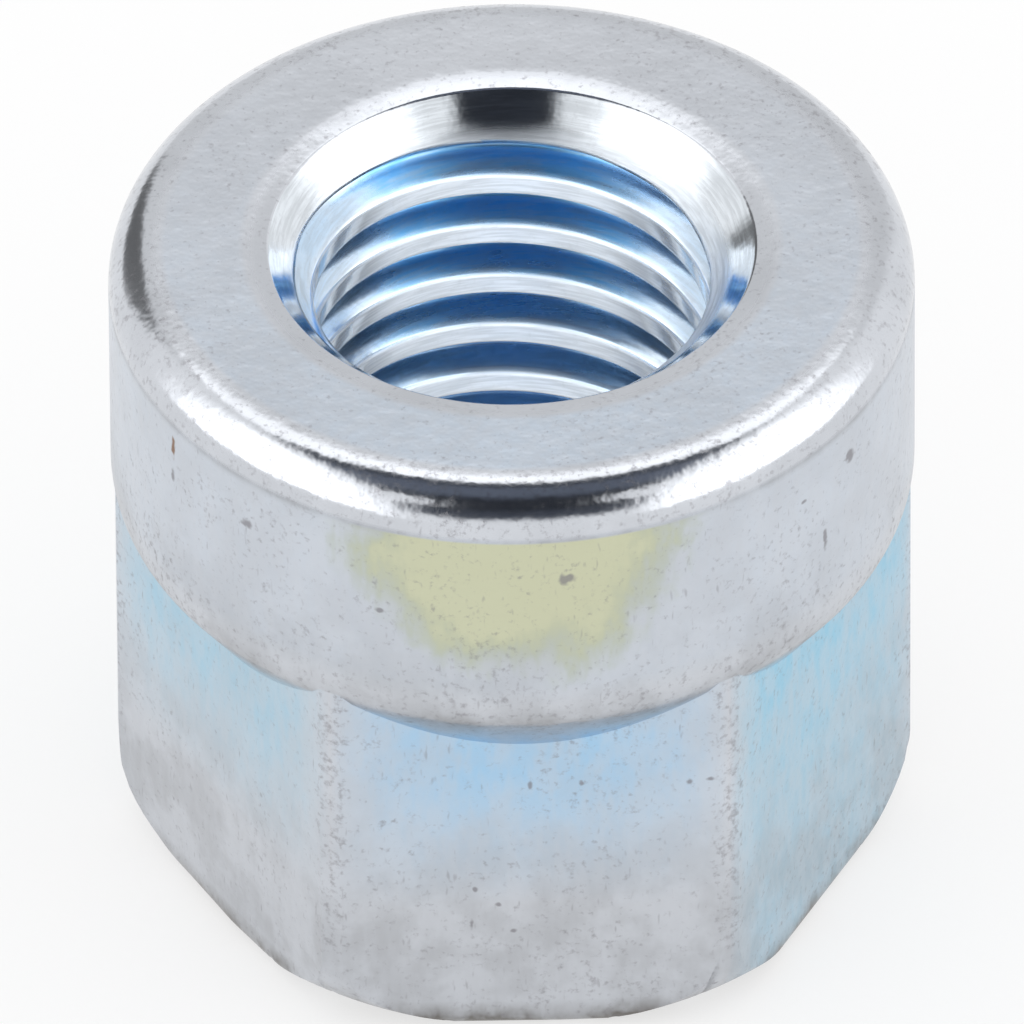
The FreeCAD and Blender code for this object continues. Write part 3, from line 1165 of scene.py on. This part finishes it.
class Surroundings:
    """The room as the metal mirrors it: a dark hood in front, side lights and a lamp above.

    A direction is read as its lift, the angle from the horizon in front up over the nut in
    degrees, and as how far to the side it points. Each pair of numbers is the start and the
    end of a soft border.
    """

    HOOD_SIDE = 0.31
    HOOD_WIDENING = 0.16
    HOOD_NARROW_LIFT = 51.0
    HOOD_NARROW_REACH = (5.0, 14.0)
    HOOD_BORDER = (-0.05, 0.05)
    HOOD_FOOT = (12.0, 24.0)
    HOOD_HEAD = (106.0, 101.0)
    MURK_LOW = (44.0, 30.0, 0.03, 0.07)
    MURK_HIGH = (60.0, 76.0)
    MURK_HIGH_END = (95.0, 88.0, 0.03, 0.12)
    MURK_TINT = (0.85, 0.97, 1.25, 1)
    BOX_SIDE = (0.45, 0.7)
    BOX_FRONT = (-0.35, 0.0)
    BOX_LIGHT = 1.1
    STAND_PLACE = (0.55, 0.3)
    STAND_WIDTH = (0.23, 0.15)
    STAND_HEIGHT = (0.31, 0.23)
    STAND_FRONT = (-0.55, -0.61)
    STAND_DIMMING = 0.8
    BACK_LIFT = (118.0, 132.0)
    BACK_SIDE = (0.7, 0.5)
    BACK_DIMMING = 0.2
    LAMP_SIDE = (0.5, 0.4)
    LAMP_FOOT = (100.0, 104.0)
    LAMP_HEAD = (134.0, 122.0)
    LAMP_LIGHT = 0.6

    def __init__(self, bench: NodeBench) -> None:
        """Splits the direction that is looked in, on the nodes of the world."""
        self.bench = bench
        way = bench.add("ShaderNodeSeparateXYZ")
        bench.put(way.inputs[0], bench.add("ShaderNodeTexCoord").outputs["Generated"])
        self.way = way.outputs
        self.front = bench.math("MULTIPLY", self.way["Y"], -1.0)
        self.lift = bench.math("DEGREES", bench.math("ARCTAN2", self.way["Z"], self.front))
        self.side = bench.math("ABSOLUTE", self.way["X"])

    def hood(self) -> bpy.types.NodeSocket:
        """Where the dark hood stands, narrower where the far cone mirrors it."""
        bench = self.bench
        off_cone = bench.math(
            "ABSOLUTE", bench.math("SUBTRACT", self.lift, self.HOOD_NARROW_LIFT),
        )
        off_cone = bench.ramp(off_cone, *self.HOOD_NARROW_REACH)
        inside = bench.math("SUBTRACT", self.HOOD_SIDE, self.side)
        across = bench.math("MULTIPLY_ADD", off_cone, self.HOOD_WIDENING, inside)
        across = bench.ramp(across, *self.HOOD_BORDER)
        hood = bench.math("MULTIPLY", across, bench.ramp(self.lift, *self.HOOD_FOOT))
        return bench.math("MULTIPLY", hood, bench.ramp(self.lift, *self.HOOD_HEAD))

    def murk(self) -> bpy.types.NodeSocket:
        """The hood's own dark, bluish colour, a little paler low down and high up."""
        bench = self.bench
        high = bench.math(
            "MULTIPLY", bench.ramp(self.lift, *self.MURK_HIGH),
            bench.ramp(self.lift, *self.MURK_HIGH_END),
        )
        murk = bench.math("ADD", bench.ramp(self.lift, *self.MURK_LOW), high)
        return bench.blend(1.0, murk, self.MURK_TINT, "MULTIPLY")

    def stand(self) -> bpy.types.NodeSocket:
        """Where a stand behind the nut, on its left, is mirrored."""
        bench = self.bench
        along, up = self.STAND_PLACE
        off = bench.math("ABSOLUTE", bench.math("ADD", self.way["X"], along))
        high = bench.math("ABSOLUTE", bench.math("SUBTRACT", self.way["Z"], up))
        stand = bench.math(
            "MULTIPLY", bench.ramp(off, *self.STAND_WIDTH),
            bench.ramp(self.front, *self.STAND_FRONT),
        )
        return bench.math("MULTIPLY", stand, bench.ramp(high, *self.STAND_HEIGHT))

    def colour(self) -> bpy.types.NodeSocket:
        """What the metal mirrors in each direction.

        Returns:
            The socket of the brightness and colour.
        """
        bench = self.bench
        hood, murk = self.hood(), self.murk()
        boxes = bench.math(
            "MULTIPLY", bench.ramp(self.side, *self.BOX_SIDE),
            bench.ramp(self.front, *self.BOX_FRONT),
        )
        lit = bench.math("MULTIPLY_ADD", boxes, self.BOX_LIGHT, 1.0)
        left = bench.math("MULTIPLY_ADD", self.stand(), -self.STAND_DIMMING, 1.0)
        lit = bench.math("MULTIPLY", lit, left)
        back = bench.math(
            "MULTIPLY", bench.ramp(self.lift, *self.BACK_LIFT),
            bench.ramp(self.side, *self.BACK_SIDE),
        )
        left = bench.math("MULTIPLY_ADD", back, -self.BACK_DIMMING, 1.0)
        lit = bench.math("MULTIPLY", lit, left)
        lamp = bench.math(
            "MULTIPLY", bench.ramp(self.side, *self.LAMP_SIDE),
            bench.ramp(self.lift, *self.LAMP_FOOT),
        )
        lamp = bench.math("MULTIPLY", lamp, bench.ramp(self.lift, *self.LAMP_HEAD))
        lit = bench.math("MULTIPLY_ADD", lamp, self.LAMP_LIGHT, lit)
        return bench.blend(hood, lit, murk)


@dataclass
class Studio:
    """The pale floor, the soft light all round and the camera."""

    PLAIN_LIGHT = (1.03, 1.03, 1.03, 1)
    FLOOR_COLOUR = (0.97, 0.97, 0.97, 1)
    CREST_LIGHT_WIDTH = 8.0

    floor_side: float = 900.0
    floor_whiteness: float = 0.65
    crest_light: float = 6.0
    crest_light_elevation: float = 56.0
    camera_elevation: float = 40.2
    camera_azimuth: float = -2.5
    camera_roll: float = -0.36
    camera_distance: float = 680.0
    pixels_per_mm: float = 65.15
    picture_side: int = 1024
    top_centre_pixel: tuple[float, float] = (511.3, 242.2)
    sensor: float = 36.0

    def floor(self) -> bpy.types.Object:
        """The plain floor that the nut stands on.

        Returns:
            None, as mark_backdrop gives nothing back.
        """
        half = self.floor_side / 2 * MM
        mesh = bpy.data.meshes.new("floor")
        corners = [(-half, -half, 0), (half, -half, 0), (half, half, 0), (-half, half, 0)]
        mesh.from_pydata(corners, [], [(0, 1, 2, 3)])
        material = bpy.data.materials.new("pale_floor")
        material.use_nodes = True
        tree = material.node_tree
        tree.nodes.clear()
        bench = NodeBench(tree)
        matt = bench.add("ShaderNodeBsdfDiffuse", Color=self.FLOOR_COLOUR)
        white = bench.add("ShaderNodeEmission", Strength=1.0)
        path = bench.add("ShaderNodeLightPath").outputs
        seen = bench.math("MAXIMUM", path["Is Camera Ray"], path["Is Glossy Ray"])
        seen = bench.math("MAXIMUM", seen, path["Is Transmission Ray"])
        shader = bench.add("ShaderNodeMixShader")
        bench.put(shader.inputs[0], bench.math("MULTIPLY", seen, self.floor_whiteness))
        bench.put(shader.inputs[1], matt.outputs[0])
        bench.put(shader.inputs[2], white.outputs[0])
        bench.add("ShaderNodeOutputMaterial", Surface=shader.outputs[0])
        mesh.materials.append(material)
        floor = bpy.data.objects.new("floor", mesh)
        bpy.context.scene.collection.objects.link(floor)
        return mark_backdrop(floor)

    def light(self) -> None:
        """Soft white light from all round, and what the bright metal mirrors."""
        world = bpy.data.worlds.new("studio")
        bpy.context.scene.world = world
        world.use_nodes = True
        tree = world.node_tree
        tree.nodes.clear()
        bench = NodeBench(tree)
        seen = Surroundings(bench).colour()
        glossy = bench.add("ShaderNodeLightPath").outputs["Is Glossy Ray"]
        colour = bench.blend(glossy, self.PLAIN_LIGHT, seen)
        background = bench.add("ShaderNodeBackground", Color=colour, Strength=1.0)
        bench.add("ShaderNodeOutputWorld", Surface=background.outputs[0])

    def spotlight(self, nut: bpy.types.Object) -> None:
        """A light from the front that picks out the dull crests down the bore.

        Args:
            nut: the nut, which is all that it shines on.
        """
        data = bpy.data.lights.new("crest_light", "SUN")
        data.energy = self.crest_light
        data.angle = math.radians(self.CREST_LIGHT_WIDTH)
        lamp = bpy.data.objects.new("crest_light", data)
        bpy.context.scene.collection.objects.link(lamp)
        lamp.rotation_euler = (math.radians(90.0 - self.crest_light_elevation), 0, 0)
        lamp.visible_glossy = False
        lit = bpy.data.collections.new("lit_by_crest_light")
        lit.objects.link(nut)
        lamp.light_linking.receiver_collection = lit

    def camera(self, sizes: NutSizes) -> None:
        """A long lens from above, turned so that the nut fills the square picture.

        Args:
            sizes: the nut's sizes, for the top face that the lens is set on.
        """
        data = bpy.data.cameras.new("camera")
        camera = bpy.data.objects.new("camera", data)
        bpy.context.scene.collection.objects.link(camera)
        lift, turn = math.radians(self.camera_elevation), math.radians(self.camera_azimuth)
        back = Vector((
            math.sin(turn) * math.cos(lift), -math.cos(turn) * math.cos(lift), math.sin(lift),
        ))
        top = Vector((0, 0, sizes.total_height))
        straight = (-back).to_track_quat("-Z", "Y")
        rolled = straight @ Quaternion((0, 0, 1), math.radians(self.camera_roll))
        right, up = rolled @ Vector((1, 0, 0)), rolled @ Vector((0, 1, 0))
        middle = self.picture_side / 2
        column, row = self.top_centre_pixel
        aim = top + (right * (middle - column) + up * (row - middle)) / self.pixels_per_mm
        place = top + back * self.camera_distance
        ahead = (aim - place).normalized()
        tilt = (-back).rotation_difference(ahead)
        camera.rotation_mode = "QUATERNION"
        camera.rotation_quaternion = tilt @ rolled
        camera.location = place * MM
        data.sensor_width = self.sensor
        focal_pixels = self.pixels_per_mm * self.camera_distance
        data.lens = self.sensor * focal_pixels / self.picture_side
        data.clip_start, data.clip_end = 10 * MM, 5000 * MM
        bpy.context.scene.camera = camera

    def build(self, sizes: NutSizes, nut: bpy.types.Object) -> None:
        """Sets up the floor, the light and the camera round the nut."""
        self.floor()
        self.light()
        self.spotlight(nut)
        self.camera(sizes)
        bpy.context.scene.view_settings.view_transform = "Standard"


def main() -> None:
    """Builds the nut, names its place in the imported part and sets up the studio."""
    logging.basicConfig(level=logging.INFO, format="%(name)s: %(message)s")
    sizes = NutSizes()
    nut = ShaftNut(sizes, PlatingShop()).build()
    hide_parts("shaft_nut")
    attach(nut, "root")
    log.info("%s: %d points", nut.name, len(nut.data.vertices))
    Studio().build(sizes, nut)


if __name__ == "__main__":
    main()
